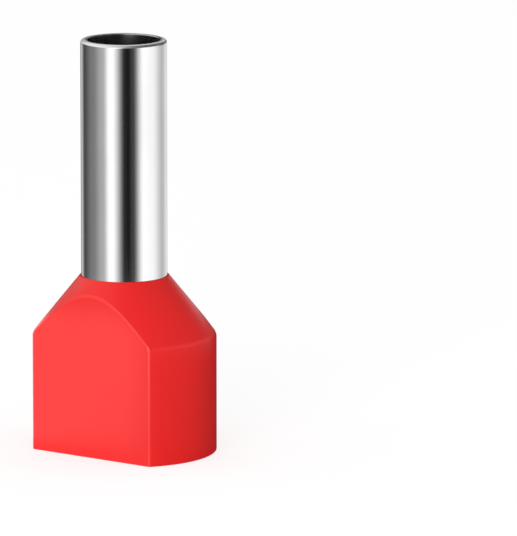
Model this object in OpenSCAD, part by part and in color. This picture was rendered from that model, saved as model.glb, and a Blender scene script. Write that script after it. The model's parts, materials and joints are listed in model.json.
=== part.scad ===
// Twin-entry wire ferrule: a plated barrel, whose inner end is flared, pressed into a moulded collar
// that takes two insulated wires side by side. It stands on the collar's mouth, barrel upwards.

/* [Barrel] */
// Outer diameter of the barrel
barrel_d = 2.9; // [2.4:0.05:3.1]
// Wall of the barrel
barrel_wall = 0.23; // [0.15:0.01:0.35]
// Length of the barrel that stands out of the collar
barrel_reach = 8.0; // [5:0.5:14]
// Length of the flared end that the collar holds
barrel_grip = 2.0; // [1.4:0.1:2.4]
// How far the flare stands out past the barrel at its end
bell_flare = 0.12; // [0.04:0.01:0.14]
// Thickness of the flare's edge, thinner than the wall it is drawn from
bell_edge = 0.16; // [0.1:0.01:0.2]
// Radius that rounds the outside of the tip
tip_round = 0.15; // [0.05:0.01:0.2]
// Chamfer inside the tip
tip_break = 0.03; // [0.02:0.01:0.05]

/* [Collar] */
// Width of the collar, across its round ends
collar_w = 6.2; // [5.6:0.05:8]
// Thickness of the collar, across its flats
collar_t = 3.75; // [3.5:0.05:4.6]
// Height of the collar
collar_h = 6.0; // [5:0.25:12]
// Wall of the collar around the wires
collar_wall = 0.35; // [0.25:0.05:0.4]
// Half-angle of the conical shoulder, from the axis
shoulder_angle = 39; // [34:1:50]
// Radius that blends the shoulder into the round ends
shoulder_r = 0.3; // [0.1:0.05:0.6]
// Width of the flat ring on top of the collar
crown_ring = 0.04; // [0.02:0.02:0.2]
// Radius of the upright edges between the flats and the round ends
edge_r = 0.12; // [0.06:0.02:0.4]
// Chamfer around the foot, outside
foot_break = 0.05; // [0.02:0.01:0.08]
// Chamfer around the mouth, inside
mouth_break = 0.1; // [0.04:0.02:0.14]
// Half-angle of the funnel that leads the strands into the barrel, from the axis
funnel_angle = 50; // [40:1:60]

/* [Fit] */
// Gap between the barrel's flare and its tapered seat in the collar
seat_gap = 0.01; // [0.01:0.01:0.03]

/* [Hidden] */
$fn = 96;
// How far a cutter runs past the face that it opens
past = 1;

// The barrel stands between these heights, and its flare ends where the collar does
bell_z = collar_h - barrel_grip;
tip_z = collar_h + barrel_reach;
barrel_r = barrel_d / 2;
bore_r = barrel_r - barrel_wall;
bell_r = barrel_r + bell_flare;

collar_r = collar_w / 2;
flat_y = collar_t / 2;
pocket_r = collar_r - collar_wall;
pocket_y = flat_y - collar_wall;

// The tapered seat follows the flare, and its wide end is the funnel's narrow end
hole_r = barrel_r + seat_gap;
seat_r = bell_r + seat_gap;
funnel_z = bell_z - (pocket_r - seat_r) / tan(funnel_angle);
crown_r = hole_r + crown_ring;
shoulder_z = collar_h - (collar_r - crown_r) / tan(shoulder_angle);

// Section of the barrel on one side of its axis: flare, straight wall and rounded tip
module barrel_section() {
    round_r = min(tip_round, barrel_wall - tip_break);
    round_x = barrel_r - round_r;
    round_z = tip_z - round_r;
    polygon([
        [bell_r - bell_edge, bell_z],
        [bell_r, bell_z],
        [barrel_r, collar_h],
        [barrel_r, round_z],
        [round_x, round_z],
        [round_x, tip_z],
        [bore_r + tip_break, tip_z],
        [bore_r, tip_z - tip_break],
        [bore_r, collar_h]
    ]);
    translate([round_x, round_z]) intersection() {
        circle(round_r);
        square(2 * round_r);
    }
}

// Outer section of the collar on one side of its axis, as if it were round all over
module collar_section() {
    blend_l = shoulder_r * tan(shoulder_angle / 2);
    polygon([
        [0, 0],
        [collar_r - foot_break, 0],
        [collar_r, foot_break],
        [collar_r, shoulder_z - blend_l],
        [collar_r - blend_l * sin(shoulder_angle), shoulder_z + blend_l * cos(shoulder_angle)],
        [crown_r, collar_h],
        [0, collar_h]
    ]);
    translate([collar_r - shoulder_r, shoulder_z - blend_l]) circle(shoulder_r);
}

// Plan of the collar: a circle cut by two flats, with rounded corners between them
module collar_plan() {
    corner_y = flat_y - edge_r;
    corner_x = sqrt(pow(collar_r - edge_r, 2) - pow(corner_y, 2));
    // The corner's arc meets the circle on the line from the centre through the arc's own centre
    meet_y = corner_y * collar_r / (collar_r - edge_r);
    square([2 * corner_x, collar_t], center = true);
    intersection() {
        circle(collar_r);
        square([collar_w, 2 * meet_y], center = true);
    }
    for (side = [-1, 1], face = [-1, 1])
        translate([side * corner_x, face * corner_y]) circle(edge_r);
}

// A block between two upright planes at y = -half and half, whose foot is splayed by lean
module slab(half, lean, foot, top) {
    depth = abs(lean);
    rotate([90, 0, 90]) linear_extrude(2 * collar_w, center = true) polygon([
        [-half - lean, foot - depth],
        [half + lean, foot - depth],
        [half, foot],
        [half, top],
        [-half, top],
        [-half, foot]
    ]);
}

// The space below the barrel: chamfered mouth, pocket for two wires, and funnel
module wire_way() {
    intersection() {
        rotate_extrude() polygon([
            [0, -past],
            [pocket_r + mouth_break + past, -past],
            [pocket_r, mouth_break],
            [pocket_r, funnel_z],
            [seat_r, bell_z],
            [0, bell_z]
        ]);
        slab(pocket_y, mouth_break + past, mouth_break, bell_z + past);
    }
}

// The tapered seat that the barrel's flare is pressed into, open through the crown
module barrel_seat() {
    rotate_extrude() polygon([
        [0, bell_z - seat_gap],
        [seat_r, bell_z - seat_gap],
        [seat_r, bell_z],
        [hole_r, collar_h],
        [hole_r, collar_h + past],
        [0, collar_h + past]
    ]);
}

module barrel() {
    color("silver") rotate_extrude() barrel_section();
}

module collar() {
    color("red") difference() {
        intersection() {
            linear_extrude(collar_h) collar_plan();
            rotate_extrude() collar_section();
            slab(flat_y, -foot_break, foot_break, collar_h);
        }
        wire_way();
        barrel_seat();
    }
}

barrel();
collar();
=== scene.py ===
"""A twin-entry wire ferrule: a tin-plated barrel pressed into a red moulded collar, standing on its mouth.

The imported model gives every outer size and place. Two pieces are built on it, the barrel and the collar,
each from a section that is spun round the barrel's axis. They stand in a small white studio, whose cards
show only as reflections in the pieces.
"""

import json
import logging
import math
from collections.abc import Iterable, Mapping
from dataclasses import dataclass, field, replace
from enum import Enum

import bmesh
import bpy
from mathutils import Matrix, Vector


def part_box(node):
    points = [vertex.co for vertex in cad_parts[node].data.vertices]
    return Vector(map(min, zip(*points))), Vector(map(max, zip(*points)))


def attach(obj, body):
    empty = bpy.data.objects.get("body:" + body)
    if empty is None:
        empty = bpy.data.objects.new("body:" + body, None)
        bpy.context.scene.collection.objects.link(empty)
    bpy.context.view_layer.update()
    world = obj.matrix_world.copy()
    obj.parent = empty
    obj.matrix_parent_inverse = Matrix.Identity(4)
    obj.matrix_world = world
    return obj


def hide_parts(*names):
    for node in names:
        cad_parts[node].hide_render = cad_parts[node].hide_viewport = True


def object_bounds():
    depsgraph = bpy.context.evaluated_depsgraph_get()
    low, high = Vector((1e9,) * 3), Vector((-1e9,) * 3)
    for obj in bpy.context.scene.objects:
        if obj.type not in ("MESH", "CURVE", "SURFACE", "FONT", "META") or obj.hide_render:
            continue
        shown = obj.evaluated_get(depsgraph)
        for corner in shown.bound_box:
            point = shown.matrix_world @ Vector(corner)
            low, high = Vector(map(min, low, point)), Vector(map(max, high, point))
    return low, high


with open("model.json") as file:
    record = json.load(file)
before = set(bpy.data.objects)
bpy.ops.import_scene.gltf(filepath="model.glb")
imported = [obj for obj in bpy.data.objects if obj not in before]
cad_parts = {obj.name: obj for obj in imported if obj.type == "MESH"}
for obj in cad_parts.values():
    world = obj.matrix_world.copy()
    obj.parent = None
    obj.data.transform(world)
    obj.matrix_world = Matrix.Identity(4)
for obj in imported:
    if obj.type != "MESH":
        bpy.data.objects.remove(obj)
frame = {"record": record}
CAD_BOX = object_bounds()

MM = 0.001
BODY = "root"
UP = Vector((0, 0, 1))
ACROSS_FLATS = Vector((0, 1, 0))
ORIGIN = Vector((0, 0, 0))
WHITE = (1.0, 1.0, 1.0, 1.0)
BLACK = (0.0, 0.0, 0.0, 1.0)
# How near two points of a mesh lie when they count as one, in millimetres
TOUCH = 1e-4
# An edge shows as sharp where its faces turn by this or more
SHARP_ANGLE = math.radians(38)

Rgba = tuple[float, float, float, float]
Profile = tuple[tuple[float, float], ...]

log = logging.getLogger("ferrule")


class Slot(Enum):
    """The record's material slots."""

    TINNED_COPPER = "tinned_copper"
    RED_POLYPROPYLENE = "red_polypropylene"


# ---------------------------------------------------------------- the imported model's sizes


def node_box(node: str) -> tuple[Vector, Vector]:
    """Gives the lowest and highest corner of a CAD node, in millimetres."""
    low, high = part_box(node)
    return low / MM, high / MM


def mount(name: str) -> dict:
    """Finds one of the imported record's mounts.

    Args:
        name: The mount's name in the record.

    Returns:
        The mount's own entry, with its place, axis and dimensions.
    """
    return next(entry for entry in frame["record"]["mounts"] if entry["name"] == name)


def grey(level: float) -> Rgba:
    """Gives the colour that is this level of grey."""
    return (level, level, level, 1.0)


# ---------------------------------------------------------------- shader building


class Value:
    """A number that changes over a surface: one output socket, with the arithmetic that a finish needs."""

    def __init__(self, graph: "Graph", socket: bpy.types.NodeSocket) -> None:
        """Wraps a socket of the graph."""
        self.graph = graph
        self.socket = socket

    def _math(self, operation: str, *terms: "Value | float") -> "Value":
        """Adds a Math node on these terms.

        Args:
            operation: The Math node's operation.
            *terms: Its inputs, in order.

        Returns:
            The node's result.
        """
        node = self.graph.node("ShaderNodeMath", {"operation": operation}, dict(enumerate(terms)))
        return Value(self.graph, node.outputs[0])

    def __add__(self, other: "Value | float") -> "Value":
        """Adds."""
        return self._math("ADD", self, other)

    def __radd__(self, other: float) -> "Value":
        """Adds, with the number on the left."""
        return self._math("ADD", other, self)

    def __sub__(self, other: "Value | float") -> "Value":
        """Subtracts."""
        return self._math("SUBTRACT", self, other)

    def __rsub__(self, other: float) -> "Value":
        """Subtracts this from a number."""
        return self._math("SUBTRACT", other, self)

    def __mul__(self, other: "Value | float") -> "Value":
        """Multiplies."""
        return self._math("MULTIPLY", self, other)

    def __rmul__(self, other: float) -> "Value":
        """Multiplies, with the number on the left."""
        return self._math("MULTIPLY", other, self)

    def most(self, other: "Value | float") -> "Value":
        """Gives the larger of the two."""
        return self._math("MAXIMUM", self, other)

    def step(self, low: float, high: float) -> "Value":
        """Rises smoothly from 0 at low to 1 at high, or falls where high is the smaller.

        Args:
            low: Where the result is 0.
            high: Where the result is 1.

        Returns:
            A mask between 0 and 1.
        """
        ends = (low, high, 0.0, 1.0) if low < high else (high, low, 1.0, 0.0)
        names = ("From Min", "From Max", "To Min", "To Max")
        node = self.graph.node(
            "ShaderNodeMapRange",
            {"interpolation_type": "SMOOTHSTEP"},
            {"Value": self, **dict(zip(names, ends))},
        )
        return Value(self.graph, node.outputs["Result"])


class Graph:
    """The nodes of one material or of the world, with short ways to add what the finishes use."""

    def __init__(self, tree: bpy.types.NodeTree) -> None:
        """Starts from an empty tree."""
        self.tree = tree
        tree.nodes.clear()

    def node(
        self,
        kind: str,
        settings: Mapping[str, object] | None = None,
        sockets: Mapping[str | int, object] | None = None,
    ) -> bpy.types.Node:
        """Adds a node, makes its settings and then feeds its sockets.

        Args:
            kind: The node's type.
            settings: The node's own properties, which decide what sockets it has.
            sockets: A number, colour, vector, Value or output socket for each input, by name or place.

        Returns:
            The node.
        """
        made = self.tree.nodes.new(kind)
        for name, setting in (settings or {}).items():
            setattr(made, name, setting)
        for name, source in (sockets or {}).items():
            self._feed(self._input(made, name), source)
        return made

    @staticmethod
    def _input(node: bpy.types.Node, name: str | int) -> bpy.types.NodeSocket:
        """Finds an input by its place, or by the name of one that the settings left enabled.

        Args:
            node: The node.
            name: The input's name or place.

        Returns:
            The input socket.
        """
        if isinstance(name, int):
            return node.inputs[name]
        return next(socket for socket in node.inputs if socket.name == name and socket.enabled)

    def _feed(self, target: bpy.types.NodeSocket, source: object) -> None:
        """Links or sets one input.

        Args:
            target: The input.
            source: The Value, output socket or plain value that it gets.
        """
        if isinstance(source, Value):
            self.tree.links.new(source.socket, target)
        elif isinstance(source, bpy.types.NodeSocket):
            self.tree.links.new(source, target)
        else:
            target.default_value = source

    def place(self) -> bpy.types.NodeSocket:
        """Gives the point on the piece, in metres, in the piece's own axes."""
        return self.node("ShaderNodeTexCoord").outputs["Object"]

    def along(self, point: bpy.types.NodeSocket, direction: Vector) -> Value:
        """Measures how far a point lies along a direction.

        Args:
            point: The point.
            direction: A direction of length 1.

        Returns:
            The distance from the origin, in metres.
        """
        node = self.node(
            "ShaderNodeVectorMath", {"operation": "DOT_PRODUCT"}, {0: point, 1: tuple(direction)}
        )
        return Value(self, node.outputs["Value"])

    def from_axis(self, point: bpy.types.NodeSocket) -> Value:
        """Measures a point's distance from the upright axis.

        Args:
            point: The point.

        Returns:
            The distance, in metres.
        """
        level = self.node("ShaderNodeVectorMath", {"operation": "MULTIPLY"}, {0: point, 1: (1, 1, 0)})
        node = self.node("ShaderNodeVectorMath", {"operation": "LENGTH"}, {0: level.outputs["Vector"]})
        return Value(self, node.outputs["Value"])

    def noise(self, grain: tuple[float, float, float], detail: float) -> Value:
        """Makes a soft random pattern on the piece.

        Args:
            grain: The size of one lump along X, Y and Z, in millimetres.
            detail: How many finer layers the pattern has.

        Returns:
            A number around 0.5.
        """
        scale = tuple(1 / (size * MM) for size in grain)
        mapping = self.node("ShaderNodeMapping", {}, {"Vector": self.place(), "Scale": scale})
        node = self.node(
            "ShaderNodeTexNoise", {}, {"Vector": mapping.outputs["Vector"], "Scale": 1.0, "Detail": detail}
        )
        return Value(self, node.outputs["Fac"])

    def blend(self, share: Value, first: object, second: object) -> bpy.types.NodeSocket:
        """Mixes two colours.

        Args:
            share: How much of the second colour shows.
            first: The colour, or a colour's socket, where share is 0.
            second: The same where share is 1.

        Returns:
            The mixed colour's socket.
        """
        colors = {"Factor": share, "A": first, "B": second}
        node = self.node("ShaderNodeMix", {"data_type": "RGBA"}, colors)
        return next(socket for socket in node.outputs if socket.type == "RGBA")

    def seen_directly(self) -> Value:
        """Tells what the camera, mirrors and glass show from the light that falls on things.

        Returns:
            1 for what is shown, and 0 for the light.
        """
        path = self.node("ShaderNodeLightPath")
        camera, glossy, through = (
            Value(self, path.outputs[name])
            for name in ("Is Camera Ray", "Is Glossy Ray", "Is Transmission Ray")
        )
        return camera.most(glossy).most(through)

    def bump(self, height: Value, strength: float, depth: float) -> bpy.types.NodeSocket:
        """Turns a pattern into fine relief.

        Args:
            height: The pattern.
            strength: How much of the relief shows.
            depth: The relief's depth, in millimetres.

        Returns:
            The normal's socket.
        """
        sockets = {"Strength": strength, "Distance": depth * MM, "Height": height}
        return self.node("ShaderNodeBump", {}, sockets).outputs["Normal"]

    def surface(self, shader: bpy.types.Node) -> None:
        """Makes this shader the material's or the world's surface."""
        kind = "ShaderNodeOutputWorld" if shader.type == "BACKGROUND" else "ShaderNodeOutputMaterial"
        self.node(kind, {}, {"Surface": shader.outputs[0]})


def new_material(name: str) -> tuple[bpy.types.Material, Graph]:
    """Starts a material.

    Args:
        name: The material's name.

    Returns:
        The material, and the graph of its nodes.
    """
    material = bpy.data.materials.new(name)
    material.use_nodes = True
    return material, Graph(material.node_tree)


# ---------------------------------------------------------------- finishes


@dataclass(frozen=True)
class TinPlate:
    """Bright tin on drawn copper: nearly a mirror, with faint lines along the draw and a rougher bore
    whose darker colour is painted shade.
    """

    bright: Rgba = (0.91, 0.91, 0.915, 1.0)
    cloudy: Rgba = (0.87, 0.87, 0.875, 1.0)
    # A darker tin in the bore: painted shade in the tube's hollow
    bore: Rgba = (0.50, 0.495, 0.49, 1.0)
    cut_end: Rgba = (0.84, 0.84, 0.84, 1.0)
    gloss: float = 0.06
    dullness: float = 0.07
    bore_dullness: float = 0.10
    cut_dullness: float = 0.36
    line_width: float = 0.035
    line_length: float = 2.4
    line_depth: float = 0.0006
    line_detail: float = 3.0
    line_strength: float = 0.6
    cloud_size: tuple[float, float, float] = (0.9, 0.9, 2.0)
    cloud_detail: float = 2.0
    cloud_edges: tuple[float, float] = (0.35, 0.7)
    cut_fade: float = 0.05

    def material(self, bore_radius: float, outer_radius: float, cut_from: float) -> bpy.types.Material:
        """Builds the material.

        Args:
            bore_radius: The barrel's inner radius, in millimetres.
            outer_radius: The barrel's outer radius, in millimetres.
            cut_from: The height at which the straight wall ends and the rolled tip starts, in millimetres.

        Returns:
            The material.
        """
        material, graph = new_material("tin_plate")
        lines = graph.noise((self.line_width, self.line_width, self.line_length), self.line_detail)
        clouds = graph.noise(self.cloud_size, self.cloud_detail)
        place = graph.place()
        middle = (bore_radius + outer_radius) / 2
        # Mask of the bore, which gets the painted shade and the rougher tin
        inside = graph.from_axis(place).step(middle * MM, bore_radius * MM)
        height = graph.along(place, UP)
        cut = height.step(cut_from * MM, (cut_from + self.cut_fade) * MM) * (1 - inside)
        skin = graph.blend(clouds.step(*self.cloud_edges), self.bright, self.cloudy)
        ended = graph.blend(cut, skin, self.cut_end)
        shader = graph.node(
            "ShaderNodeBsdfPrincipled",
            {},
            {
                "Base Color": graph.blend(inside, ended, self.bore),
                "Metallic": 1.0,
                "Roughness": (
                    self.gloss
                    + self.dullness * lines * clouds
                    + self.bore_dullness * inside
                    + self.cut_dullness * cut
                ),
                "Normal": graph.bump(lines, self.line_strength, self.line_depth),
            },
        )
        graph.surface(shader)
        return material


@dataclass(frozen=True)
class RedPolypropylene:
    """Moulded red plastic with a satin skin: a fine grain, and slow changes of tone and gloss.

    The rounded edges of the flats carry a painted highlight: a paler red stands in for a reflection there.
    The painted highlight starts and ends at shares of the rounding's radius, measured inwards from the
    flat.
    """

    red: Rgba = (0.90, 0.009, 0.008, 1.0)
    deep_red: Rgba = (0.87, 0.008, 0.007, 1.0)
    # A paler red painted on the flats' rounded edges as a highlight
    painted_edge_highlight: Rgba = (0.93, 0.036, 0.034, 1.0)
    highlight_start: tuple[float, float] = (0.40, 0.20)
    highlight_end: tuple[float, float] = (0.002, 0.02)
    gloss: float = 0.34
    dullness: float = 0.14
    refraction: float = 1.49
    grain_size: float = 0.05
    grain_depth: float = 0.0011
    grain_detail: float = 3.0
    grain_strength: float = 0.5
    flow_size: float = 1.6
    flow_stretch: float = 1.5
    flow_detail: float = 2.0
    flow_edges: tuple[float, float] = (0.3, 0.75)

    def material(self, half_thickness: float, edge_radius: float) -> bpy.types.Material:
        """Builds the material.

        Args:
            half_thickness: How far out from the axis the collar's flats lie, in millimetres.
            edge_radius: The radius of the rounding where the flats end, in millimetres.

        Returns:
            The material.
        """
        material, graph = new_material("red_polypropylene")
        across = graph.along(graph.place(), ACROSS_FLATS)
        out = across.most(0 - across)
        starts, ends = (
            [(half_thickness - share * edge_radius) * MM for share in shares]
            for shares in (self.highlight_start, self.highlight_end)
        )
        # Mask of the painted highlight along the flats' rounded edges
        edge = out.step(*starts) * out.step(*ends)
        flow_size = (self.flow_size, self.flow_size, self.flow_stretch * self.flow_size)
        flow = graph.noise(flow_size, self.flow_detail)
        grain = graph.noise((self.grain_size,) * 3, self.grain_detail)
        skin = graph.blend(flow.step(*self.flow_edges), self.red, self.deep_red)
        shader = graph.node(
            "ShaderNodeBsdfPrincipled",
            {},
            {
                "Base Color": graph.blend(edge, skin, self.painted_edge_highlight),
                "Roughness": self.gloss + self.dullness * grain * flow,
                "IOR": self.refraction,
                "Normal": graph.bump(grain, self.grain_strength, self.grain_depth),
            },
        )
        graph.surface(shader)
        return material


@dataclass(frozen=True)
class PaleFloor:
    """A matt pale floor that is seen as white, keeps a soft shadow, and is clear from below."""

    pale: Rgba = (0.85, 0.85, 0.85, 1.0)
    seen_paint: Rgba = (0.42, 0.42, 0.42, 1.0)
    seen_glow: Rgba = (0.70, 0.70, 0.70, 1.0)

    def material(self) -> bpy.types.Material:
        """Builds the material.

        Returns:
            The material.
        """
        material, graph = new_material("pale_floor")
        seen = graph.seen_directly()
        shown = graph.node(
            "ShaderNodeBsdfPrincipled",
            {},
            {
                "Base Color": graph.blend(seen, self.pale, self.seen_paint),
                "Roughness": 1.0,
                "Specular IOR Level": 0.0,
                "Emission Color": graph.blend(seen, BLACK, self.seen_glow),
                "Emission Strength": 1.0,
            },
        )
        clear = graph.node("ShaderNodeBsdfTransparent")
        below = graph.node("ShaderNodeNewGeometry").outputs["Backfacing"]
        graph.surface(
            graph.node("ShaderNodeMixShader", {}, {0: below, 1: shown.outputs[0], 2: clear.outputs[0]})
        )
        return material


@dataclass(frozen=True)
class Stop:
    """A place in a row of cards: its turn round the object in degrees, and its greys at foot and top."""

    turn: float
    foot: float
    top: float | None = None

    @property
    def upper(self) -> float:
        """The grey at the top, which is the foot's where none is given."""
        return self.foot if self.top is None else self.top

    def turned(self, angle: float) -> "Stop":
        """Gives the same stop, turned further round the object."""
        return replace(self, turn=self.turn + angle)


@dataclass(frozen=True)
class CardFinish:
    """A studio card whose grey changes smoothly between its two upright ends, and from foot to top."""

    start: Stop
    end: Stop
    fade: tuple[float, float]

    def material(self, name: str) -> bpy.types.Material:
        """Builds the material.

        Args:
            name: The card's name.

        Returns:
            The material.
        """
        material, graph = new_material(name)
        peak = max(self.start.foot, self.start.upper, self.end.foot, self.end.upper)
        low = self._across(graph, self.start.foot / peak, self.end.foot / peak)
        high = self._across(graph, self.start.upper / peak, self.end.upper / peak)
        color = low
        if (self.start.foot, self.end.foot) != (self.start.upper, self.end.upper):
            height = graph.along(graph.place(), UP)
            color = graph.blend(height.step(self.fade[0] * MM, self.fade[1] * MM), low, high)
        graph.surface(graph.node("ShaderNodeEmission", {}, {"Color": color, "Strength": peak}))
        material.cycles.emission_sampling = "NONE"
        return material

    def _across(self, graph: Graph, first: float, second: float) -> object:
        """Runs from one grey at the card's start to another at its end.

        Args:
            graph: The material's nodes.
            first: The grey at the start.
            second: The grey at the end.

        Returns:
            A colour where both are the same, and otherwise the mixed colour's socket.
        """
        if first == second:
            return grey(first)
        place = graph.place()
        middle = (self.start.turn + self.end.turn) / 2
        ahead = graph.along(place, towards(middle))
        aside = graph.along(place, towards(middle + 90))
        turned = graph.node("ShaderNodeMath", {"operation": "ARCTAN2"}, {0: aside, 1: ahead})
        half = math.radians(self.end.turn - self.start.turn) / 2
        return graph.blend(Value(graph, turned.outputs[0]).step(-half, half), grey(first), grey(second))


# ---------------------------------------------------------------- mesh building


def towards(azimuth: float, elevation: float = 0.0) -> Vector:
    """Gives the direction from the object to a place round it.

    Args:
        azimuth: Degrees round the object: 0 is its -Y side and 90 its +X side.
        elevation: Degrees above the level.

    Returns:
        A direction of length 1.
    """
    turn, rise = math.radians(azimuth), math.radians(elevation)
    return Vector((math.sin(turn) * math.cos(rise), -math.cos(turn) * math.cos(rise), math.sin(rise)))


@dataclass(frozen=True)
class Corner:
    """A corner of a section: its distance from the axis, its height, and how far its rounding reaches."""

    radius: float
    height: float
    rounding: float = 0.0


def draw_section(corners: Iterable[Corner], closed: bool, segments: int) -> bmesh.types.BMesh:
    """Draws a section in the XZ plane and rounds its corners.

    Args:
        corners: The section's corners in order, in millimetres.
        closed: Whether the last corner joins the first.
        segments: How many pieces a rounding has.

    Returns:
        A mesh of edges alone.
    """
    corners = list(corners)
    section = bmesh.new()
    points = [section.verts.new((corner.radius, 0, corner.height)) for corner in corners]
    for first, second in zip(points, points[1:] + points[:1] if closed else points[1:]):
        section.edges.new((first, second))
    for point, corner in zip(points, corners):
        if corner.rounding:
            bmesh.ops.bevel(
                section,
                geom=[point],
                offset=corner.rounding,
                offset_type="OFFSET",
                segments=segments,
                profile=0.5,
                affect="VERTICES",
                material=-1,
                clamp_overlap=True,
            )
    return section


def spin_section(section: bmesh.types.BMesh, steps: int) -> None:
    """Turns a section once round the upright axis.

    Args:
        section: The mesh of edges, which becomes the turned surface.
        steps: How many faces go round.
    """
    bmesh.ops.spin(
        section,
        geom=section.verts[:] + section.edges[:],
        cent=ORIGIN,
        axis=UP,
        angle=2 * math.pi,
        steps=steps,
        use_merge=True,
        use_duplicate=False,
    )


@dataclass(frozen=True)
class Flats:
    """Two upright flats on a round form, with rounded edges where they meet the round ends."""

    round_radius: float
    half_thickness: float
    edge_radius: float
    segments: int = 5

    @property
    def _centre(self) -> tuple[float, float]:
        """The edge rounding's own centre, across and out from the axis."""
        out = self.half_thickness - self.edge_radius
        return math.sqrt((self.round_radius - self.edge_radius) ** 2 - out**2), out

    def _lines(self) -> list[float]:
        """Gives how far out from the axis the round form is cut, once for each step of the rounding.

        Returns:
            The distances, from the round end to the flat.
        """
        across, out = self._centre
        start = math.atan2(out, across)
        sweep = math.pi / 2 - start
        turns = (start + sweep * step / self.segments for step in range(self.segments + 1))
        xs = (across + self.edge_radius * math.cos(turn) for turn in turns)
        return [math.sqrt(self.round_radius**2 - x**2) for x in xs]

    def _pressed(self, out: float) -> float:
        """Gives where a point comes to lie when the flats are pressed in.

        Args:
            out: How far out from the axis it lies on the round form.

        Returns:
            How far out it lies then.
        """
        across, centre_out = self._centre
        beside = math.sqrt(max(0.0, self.round_radius**2 - out**2)) - across
        if beside <= 0:
            return self.half_thickness
        return centre_out + math.sqrt(max(0.0, self.edge_radius**2 - beside**2))

    def press(self, mesh: bmesh.types.BMesh) -> None:
        """Presses both flats into a turned form.

        Args:
            mesh: The turned form, in millimetres.
        """
        lines = self._lines()
        for side in (-1, 1):
            for line in lines:
                bmesh.ops.bisect_plane(
                    mesh,
                    geom=mesh.verts[:] + mesh.edges[:] + mesh.faces[:],
                    dist=TOUCH / 10,
                    plane_co=(0, side * line, 0),
                    plane_no=(0, side, 0),
                )
        for vertex in mesh.verts:
            if abs(vertex.co.y) > lines[0]:
                vertex.co.y = math.copysign(self._pressed(abs(vertex.co.y)), vertex.co.y)
        flat_edges = [edge for edge in mesh.edges if self._within(edge)]
        bmesh.ops.dissolve_edges(mesh, edges=flat_edges, use_verts=True, use_face_split=False)

    def _within(self, edge: bmesh.types.BMEdge) -> bool:
        """Tells whether an edge lies inside one of the flats, with flat faces on both its sides.

        Args:
            edge: The edge.

        Returns:
            Whether it does.
        """
        faces = edge.link_faces
        corners = (vertex for face in faces for vertex in face.verts)
        limit = self.half_thickness - TOUCH
        return len(faces) == 2 and all(abs(corner.co.y) > limit for corner in corners)


def open_rim(mesh: bmesh.types.BMesh, height: float) -> list[bmesh.types.BMEdge]:
    """Finds the open edges of a mesh that lie at one height.

    Args:
        mesh: The mesh, in millimetres.
        height: The height.

    Returns:
        The edges.
    """
    return [
        edge
        for edge in mesh.edges
        if edge.is_boundary and all(abs(vertex.co.z - height) < TOUCH for vertex in edge.verts)
    ]


def rim_ways(rim: Iterable[bmesh.types.BMEdge]) -> dict[bmesh.types.BMVert, Vector]:
    """Gives the level way out from the axis, square to the rim, at each of its points.

    Args:
        rim: The rim's edges.

    Returns:
        A direction of length 1 for each vertex of the rim.
    """
    ways: dict[bmesh.types.BMVert, Vector] = {}
    for edge in rim:
        first, second = edge.verts
        square = (second.co - first.co).cross(UP).normalized()
        square *= math.copysign(1, square.dot(first.co + second.co))
        for vertex in edge.verts:
            ways[vertex] = ways.get(vertex, Vector()) + square
    return {vertex: way.normalized() for vertex, way in ways.items()}


def roll_rim(mesh: bmesh.types.BMesh, drop: float, spread: float, steps: int) -> None:
    """Carries the open rim at the foot of an upright wall down round a quarter turn.

    Args:
        mesh: The mesh with the open rim, in millimetres.
        drop: How far the rim goes down.
        spread: How far it goes outwards, or inwards where it is below 0.
        steps: How many rows of faces make the turn.
    """
    rim = open_rim(mesh, min(vertex.co.z for vertex in mesh.verts))
    ways = rim_ways(rim)
    for step in range(steps):
        before, after = (math.pi / 2 * part / steps for part in (step, step + 1))
        out = spread * (math.cos(before) - math.cos(after))
        down = drop * (math.sin(after) - math.sin(before))
        geometry = bmesh.ops.extrude_edge_only(mesh, edges=rim)["geom"]
        rim = [item for item in geometry if isinstance(item, bmesh.types.BMEdge)]
        moved = {}
        for vertex in (item for item in geometry if isinstance(item, bmesh.types.BMVert)):
            neighbours = (edge.other_vert(vertex) for edge in vertex.link_edges)
            above = next(neighbour for neighbour in neighbours if neighbour in ways)
            moved[vertex] = ways[above]
            vertex.co += out * ways[above] - down * UP
        ways = moved


def join_meshes(parts: Iterable[bmesh.types.BMesh]) -> bmesh.types.BMesh:
    """Puts several meshes together, unjoined.

    Args:
        parts: The meshes, which are freed.

    Returns:
        The mesh that holds them all.
    """
    whole = bmesh.new()
    for part in parts:
        carrier = bpy.data.meshes.new("carrier")
        part.to_mesh(carrier)
        part.free()
        whole.from_mesh(carrier)
        bpy.data.meshes.remove(carrier)
    return whole


def close_level(mesh: bmesh.types.BMesh, height: float) -> None:
    """Closes the flat ring between the two open rims that lie at one height.

    Args:
        mesh: The mesh.
        height: The rims' height, in millimetres.
    """
    rims = open_rim(mesh, height)
    bmesh.ops.triangle_fill(mesh, edges=rims, use_beauty=True, use_dissolve=False, normal=-UP)


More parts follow.
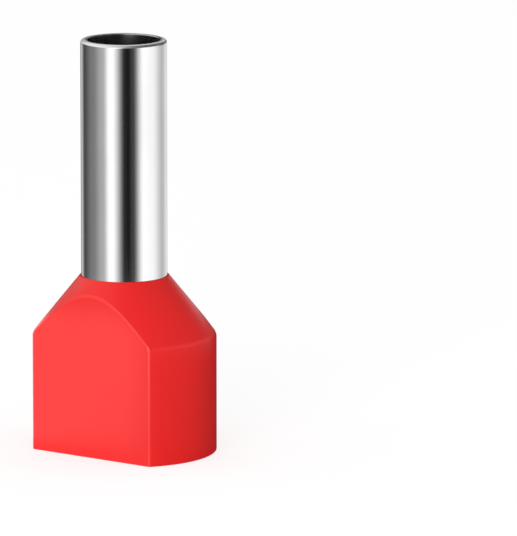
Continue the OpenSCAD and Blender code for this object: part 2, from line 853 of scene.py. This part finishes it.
def finish_piece(mesh: bmesh.types.BMesh, name: str, material: bpy.types.Material) -> bpy.types.Object:
    """Turns a closed mesh in millimetres into a smooth-shaded piece of the scene, at the origin.

    Args:
        mesh: The closed mesh, which is freed.
        name: The piece's name.
        material: Its finish.

    Returns:
        The piece.
    """
    bmesh.ops.remove_doubles(mesh, verts=mesh.verts[:], dist=TOUCH)
    bmesh.ops.recalc_face_normals(mesh, faces=mesh.faces[:])
    bmesh.ops.scale(mesh, vec=(MM, MM, MM), verts=mesh.verts[:])
    for face in mesh.faces:
        face.smooth = True
    for edge in mesh.edges:
        edge.smooth = edge.calc_face_angle(0.0) < SHARP_ANGLE
    open_edges = sum(not edge.is_manifold for edge in mesh.edges)
    data = bpy.data.meshes.new(name)
    mesh.to_mesh(data)
    mesh.free()
    data.materials.append(material)
    piece = bpy.data.objects.new(name, data)
    bpy.context.scene.collection.objects.link(piece)
    shading = piece.modifiers.new("even_shading", "WEIGHTED_NORMAL")
    shading.keep_sharp = True
    shading.weight = 100
    log.info("%s: %d faces, %d open edges", name, len(data.polygons), open_edges)
    return piece


def stand_for(piece: bpy.types.Object, node: str) -> None:
    """Puts a piece in the place of its CAD node.

    Args:
        piece: The piece.
        node: The CAD node that it replaces.
    """
    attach(piece, BODY)
    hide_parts(node)


# ---------------------------------------------------------------- the ferrule's pieces


@dataclass
class Barrel:
    """The drawn tube: a straight wall with a rolled tip, and a flared end that the collar holds."""

    outer_radius: float
    bore_radius: float
    flare_radius: float
    foot: float
    crown: float
    tip: float
    bore_break: float
    tip_rounding: float = 0.10
    flare_edge: float = 0.16
    hold: float = 0.03
    around: int = 144
    segments: int = 6
    finish: TinPlate = field(default_factory=TinPlate)

    @classmethod
    def from_frame(cls) -> "Barrel":
        """Reads the barrel's sizes from its CAD node and from the mounts on it.

        Returns:
            The barrel.
        """
        low, high = node_box("barrel")
        pin, bore = mount("terminal_pin")["dims"], mount("wire_bore")["dims"]
        crown = node_box("collar")[1].z
        return cls(
            outer_radius=pin["r_mm"],
            bore_radius=bore["r_mm"],
            flare_radius=high.x,
            foot=low.z,
            crown=crown,
            tip=high.z,
            bore_break=high.z - crown - bore["length_mm"],
        )

    def corners(self) -> list[Corner]:
        """Gives the section of the wall, from the flare's inner edge up the outside and down the bore.

        A narrow row at each end of a straight wall holds its shading straight right up to the next form.

        Returns:
            The section's corners.
        """
        return [
            Corner(self.flare_radius - self.flare_edge, self.foot),
            Corner(self.flare_radius, self.foot),
            Corner(self.outer_radius, self.crown),
            Corner(self.outer_radius, self.crown + self.hold),
            Corner(self.outer_radius, self.tip - self.tip_rounding - self.hold),
            Corner(self.outer_radius, self.tip, self.tip_rounding),
            Corner(self.bore_radius, self.tip, self.bore_break),
            Corner(self.bore_radius, self.tip - self.bore_break - self.hold),
            Corner(self.bore_radius, self.crown + self.hold),
            Corner(self.bore_radius, self.crown),
        ]

    def build(self) -> bpy.types.Object:
        """Builds the barrel and puts it in the CAD node's place.

        Returns:
            The piece.
        """
        mesh = draw_section(self.corners(), closed=True, segments=self.segments)
        spin_section(mesh, self.around)
        wall_top = self.tip - self.tip_rounding
        material = self.finish.material(self.bore_radius, self.outer_radius, wall_top)
        piece = finish_piece(mesh, "plated_barrel", material)
        stand_for(piece, "barrel")
        return piece


@dataclass
class Collar:
    """The moulded collar: a round body with two flats, a conical shoulder, and a pocket for two wires."""

    radius: float
    half_thickness: float
    height: float
    barrel_radius: float
    flare_radius: float
    flare_foot: float
    wall: float = 0.35
    shoulder_angle: float = 39.0
    shoulder_rounding: float = 0.11
    crown_ring: float = 0.04
    crown_rounding: float = 0.015
    edge_radius: float = 0.12
    foot_break: float = 0.05
    mouth_break: float = 0.1
    funnel_angle: float = 50.0
    funnel_ledge: float = 0.01
    funnel_rounding: float = 0.08
    seat_gap: float = 0.01
    around: int = 160
    segments: int = 4
    finish: RedPolypropylene = field(default_factory=RedPolypropylene)

    @classmethod
    def from_frame(cls) -> "Collar":
        """Reads the collar's outer sizes from its CAD node, and its seat's from the barrel.

        Returns:
            The collar.
        """
        high, barrel = node_box("collar")[1], node_box("barrel")
        return cls(
            radius=high.x,
            half_thickness=high.y,
            height=high.z,
            barrel_radius=mount("terminal_pin")["dims"]["r_mm"],
            flare_radius=barrel[1].x,
            flare_foot=barrel[0].z,
        )

    def outside(self) -> bmesh.types.BMesh:
        """Builds the outer wall, the cone, the crown and the barrel's seat.

        Returns:
            A mesh that is open at the foot and at the seat's end.
        """
        hole = self.barrel_radius + self.seat_gap
        crown = hole + self.crown_ring
        shoulder = self.height - (self.radius - crown) / math.tan(math.radians(self.shoulder_angle))
        corners = [
            Corner(self.radius, self.foot_break),
            Corner(self.radius, shoulder, self.shoulder_rounding),
            Corner(crown, self.height, self.crown_rounding),
            Corner(hole, self.height, self.crown_rounding),
            Corner(self.flare_radius + self.seat_gap, self.flare_foot),
        ]
        mesh = draw_section(corners, closed=False, segments=self.segments)
        spin_section(mesh, self.around)
        Flats(self.radius, self.half_thickness, self.edge_radius).press(mesh)
        roll_rim(mesh, self.foot_break, -self.foot_break, self.segments)
        return mesh

    def pocket(self) -> bmesh.types.BMesh:
        """Builds the pocket for the wires and the funnel above it.

        Returns:
            A mesh that is open at the mouth and at the barrel.
        """
        radius = self.radius - self.wall
        top = self.flare_radius + self.seat_gap - self.funnel_ledge
        funnel = self.flare_foot - (radius - top) / math.tan(math.radians(self.funnel_angle))
        corners = [
            Corner(radius, self.mouth_break),
            Corner(radius, funnel, self.funnel_rounding),
            Corner(top, self.flare_foot),
        ]
        mesh = draw_section(corners, closed=False, segments=self.segments)
        spin_section(mesh, self.around)
        Flats(radius, self.half_thickness - self.wall, self.edge_radius).press(mesh)
        roll_rim(mesh, self.mouth_break, self.mouth_break, self.segments)
        return mesh

    def build(self) -> bpy.types.Object:
        """Builds the collar and puts it in the CAD node's place.

        Returns:
            The piece.
        """
        mesh = join_meshes([self.outside(), self.pocket()])
        close_level(mesh, self.flare_foot)
        close_level(mesh, 0.0)
        material = self.finish.material(self.half_thickness, self.edge_radius)
        piece = finish_piece(mesh, "wire_collar", material)
        stand_for(piece, "collar")
        return piece


# ---------------------------------------------------------------- studio and camera

@dataclass(frozen=True)
class Lamp:
    """A soft lamp that points at the object from a place round it."""

    name: str
    azimuth: float
    elevation: float
    level: float
    width: float = 140.0
    distance: float = 260.0

    def build(self, target: Vector) -> None:
        """Hangs the lamp.

        Args:
            target: The point that it lights, in metres.
        """
        away = self.distance * MM
        data = bpy.data.lights.new(self.name, "AREA")
        data.shape = "SQUARE"
        data.size = self.width * MM
        # A level of 1 lights a surface that faces the lamp just enough to show its colour as written
        data.energy = self.level * (math.pi * away) ** 2
        lamp = bpy.data.objects.new(self.name, data)
        lamp.location = target + away * towards(self.azimuth, self.elevation)
        lamp.rotation_euler = (lamp.location - target).to_track_quat("Z", "Y").to_euler()
        bpy.context.scene.collection.objects.link(lamp)


# How many faces go round one card
CARD_STEPS = 24


@dataclass(frozen=True)
class Card:
    """A curved studio card round the object, which shows in glossy surfaces alone."""

    name: str
    finish: CardFinish
    profile: Profile

    def build(self) -> None:
        """Stands the card in its place."""
        finish = self.finish
        corners = [Corner(distance, height) for distance, height in self.profile]
        mesh = draw_section(corners, closed=False, segments=1)
        # The section is drawn on the +X side, whose azimuth is 90
        turn = Matrix.Rotation(math.radians(finish.start.turn - 90), 3, "Z")
        bmesh.ops.rotate(mesh, cent=ORIGIN, matrix=turn, verts=mesh.verts[:])
        bmesh.ops.spin(
            mesh,
            geom=mesh.verts[:] + mesh.edges[:],
            cent=ORIGIN,
            axis=UP,
            angle=math.radians(finish.end.turn - finish.start.turn),
            steps=CARD_STEPS,
            use_duplicate=False,
        )
        bmesh.ops.scale(mesh, vec=(MM, MM, MM), verts=mesh.verts[:])
        data = bpy.data.meshes.new(self.name)
        mesh.to_mesh(data)
        mesh.free()
        data.materials.append(finish.material(self.name))
        card = bpy.data.objects.new(self.name, data)
        bpy.context.scene.collection.objects.link(card)
        card.visible_camera = False
        card.visible_diffuse = False
        card.visible_shadow = False


@dataclass
class Studio:
    """The floor, the white surroundings, the lamps and the cards."""

    target: Vector
    camera_azimuth: float
    floor_size: float = 3000.0
    ambient: float = 0.655
    card_distance: float = 31.0
    card_height: float = 16.0
    lamps: tuple[Lamp, ...] = (Lamp("key", azimuth=20, elevation=6, level=0.60),)
    foot_distance: float = 4.0
    floor_gap: float = 0.02
    lying_margin: float = 0.1
    # Where the dark cards at the foot start, and the lowest heights of those cards and the white ones
    foot_start: float = 3.1
    dark_foot: float = 0.01
    white_foot: float = 0.05
    # The heights between which a card's lower greys give way to its upper ones
    ring_fade: tuple[float, float] = (9.8, 13.5)
    dark_fade: tuple[float, float] = (3.0, 4.0)
    back_fade: tuple[float, float] = (3.8, 4.8)
    white_fade: tuple[float, float] = (4.2, 4.9)
    # How far the brow and the back stand behind the ring and above it, and how far up they reach
    step_back: float = 0.4
    step_up: float = 0.2
    brow_rise: float = 4.5
    back_rise: float = 14.0
    hood_step: float = 0.5
    hood_profile: Profile = ((36.0, 30.0), (0.5, 60.0))
    # The lying cards repeat the ring's greys more softly
    lying_lift: float = 0.22
    lying_share: float = 0.7
    # The turns are from the camera's side to the right
    ring: tuple[Stop, ...] = (
        Stop(-184, 0.04),
        Stop(-172, 0.04),
        Stop(-150, 0.55),
        Stop(-128, 0.07),
        Stop(-89, 0.21),
        Stop(-57, 0.45),
        Stop(-35, 1.22),
        Stop(2, 0.02),
        Stop(11, 0.01),
        Stop(24, 0.06),
        Stop(54, 1.12),
        Stop(76, 1.05, 0.9),
        Stop(121, 0.52, 0.05),
        Stop(150, 0.80, 0.05),
        Stop(164, 0.75, 0.05),
        Stop(176, 0.04),
    )
    hood: tuple[Stop, ...] = (
        Stop(-62, 0.95),
        Stop(-8, 0.14),
        Stop(90, 0.05),
        Stop(140, 0.06),
        Stop(166, 0.95),
    )
    foot_white: tuple[Stop, ...] = (
        Stop(-132, 0.50),
        Stop(-112, 2.05, 1.2),
        Stop(-40, 2.05, 1.2),
        Stop(-16, 0.60),
    )
    foot_dark: tuple[Stop, ...] = (Stop(14, 0.30), Stop(28, 0.03, 0.3), Stop(92, 0.03, 0.3))
    back_dark: tuple[Stop, ...] = (Stop(92, 0.03, 0.3), Stop(172, 0.03, 0.3), Stop(190, 0.30))
    brow: tuple[Stop, ...] = (Stop(118, 0.05), Stop(172, 0.06))
    back: tuple[Stop, ...] = (Stop(172, 0.06), Stop(214, 0.06))

    def cards(self) -> list[Card]:
        """Gives every card, in rows that go round the object.

        Returns:
            The cards.
        """
        reach, height, near = self.card_distance, self.card_height, self.foot_distance
        behind, above = reach + self.step_back, height + self.step_up
        upright = ((reach, self.floor_gap), (reach, height))
        lying = (
            (near + self.lying_margin, self.floor_gap),
            (reach - self.lying_margin, self.floor_gap),
        )
        low_start = ((self.foot_start, self.dark_foot), (near, self.dark_foot))
        beside_foot = (*low_start, (near, self.dark_fade[1]))
        behind_foot = (*low_start, (near, self.back_fade[1]))
        before_foot = ((near, self.white_foot), (near, self.white_fade[1]))
        brow = ((behind, above), (behind, height + self.brow_rise))
        back = ((behind, above), (behind, height + self.back_rise))
        hood = ((reach + self.hood_step, height + self.hood_step), *self.hood_profile)
        soft_ring = tuple(
            Stop(stop.turn, self.lying_lift + self.lying_share * stop.foot) for stop in self.ring
        )
        return [
            *self._row("ring_card", self.ring, upright),
            *self._row("floor_card", soft_ring, lying),
            *self._row("foot_dark_card", self.foot_dark, beside_foot, self.dark_fade),
            *self._row("back_dark_card", self.back_dark, behind_foot, self.back_fade),
            *self._row("foot_white_card", self.foot_white, before_foot, self.white_fade),
            *self._row("brow_card", self.brow, brow),
            *self._row("back_card", self.back, back),
            *self._row("hood_card", self.hood, hood),
        ]

    def _row(
        self,
        name: str,
        stops: Iterable[Stop],
        profile: Profile,
        fade: tuple[float, float] | None = None,
    ) -> list[Card]:
        """Places cards side by side.

        Args:
            name: The row's name.
            stops: Where one card ends and the next starts.
            profile: The cards' shared section, as distances from the axis and heights.
            fade: The heights between which the foot's grey gives way to the top's, or the ring's own.

        Returns:
            The row's cards.
        """
        placed = [stop.turned(self.camera_azimuth) for stop in stops]
        return [
            Card(f"{name}_{place}", CardFinish(start, end, fade or self.ring_fade), profile)
            for place, (start, end) in enumerate(zip(placed, placed[1:]))
        ]

    def build_floor(self) -> None:
        """Lays the floor under the object."""
        mesh = bmesh.new()
        bmesh.ops.create_grid(mesh, x_segments=1, y_segments=1, size=self.floor_size * MM / 2)
        data = bpy.data.meshes.new("floor")
        mesh.to_mesh(data)
        mesh.free()
        data.materials.append(PaleFloor().material())
        floor = bpy.data.objects.new("floor", data)
        bpy.context.scene.collection.objects.link(floor)

    def build_world(self) -> None:
        """Surrounds the scene with soft light that is seen as plain white."""
        world = bpy.data.worlds.new("white_room")
        world.use_nodes = True
        bpy.context.scene.world = world
        graph = Graph(world.node_tree)
        color = graph.blend(graph.seen_directly(), grey(self.ambient), WHITE)
        graph.surface(graph.node("ShaderNodeBackground", {}, {"Color": color, "Strength": 1.0}))

    def build(self) -> None:
        """Builds everything round the object."""
        self.build_floor()
        self.build_world()
        for lamp in self.lamps:
            lamp.build(self.target)
        cards = self.cards()
        for card in cards:
            card.build()
        log.info("studio: %d lamps, %d cards", len(self.lamps), len(cards))


@dataclass
class ViewPoint:
    """A long lens, a little above the object and towards one corner, aimed beside it."""

    azimuth: float = 37.8
    elevation: float = 10.32
    distance: float = 262.0
    lens: float = 523.8
    aim_right: float = 4.508
    aim_down: float = 0.783

    def build(self, target: Vector) -> None:
        """Sets the camera up.

        Args:
            target: The middle of the object, in metres.
        """
        back = towards(self.azimuth, self.elevation)
        right = UP.cross(back).normalized()
        above = back.cross(right)
        aim = target + (self.aim_right * right - self.aim_down * above) * MM
        data = bpy.data.cameras.new("camera")
        data.lens = self.lens
        data.clip_start = 0.01
        data.clip_end = 10.0
        camera = bpy.data.objects.new("camera", data)
        camera.location = target + self.distance * MM * back
        camera.rotation_euler = (camera.location - aim).to_track_quat("Z", "Y").to_euler()
        bpy.context.scene.collection.objects.link(camera)
        bpy.context.scene.camera = camera


def main() -> None:
    """Builds the ferrule, the studio and the camera."""
    logging.basicConfig(level=logging.INFO, format="%(message)s")
    bpy.context.scene.view_settings.view_transform = "Standard"
    Barrel.from_frame().build()
    Collar.from_frame().build()
    target = (CAD_BOX[0] + CAD_BOX[1]) / 2
    view_point = ViewPoint()
    view_point.build(target)
    Studio(target, view_point.azimuth).build()


if __name__ == "__main__":
    main()
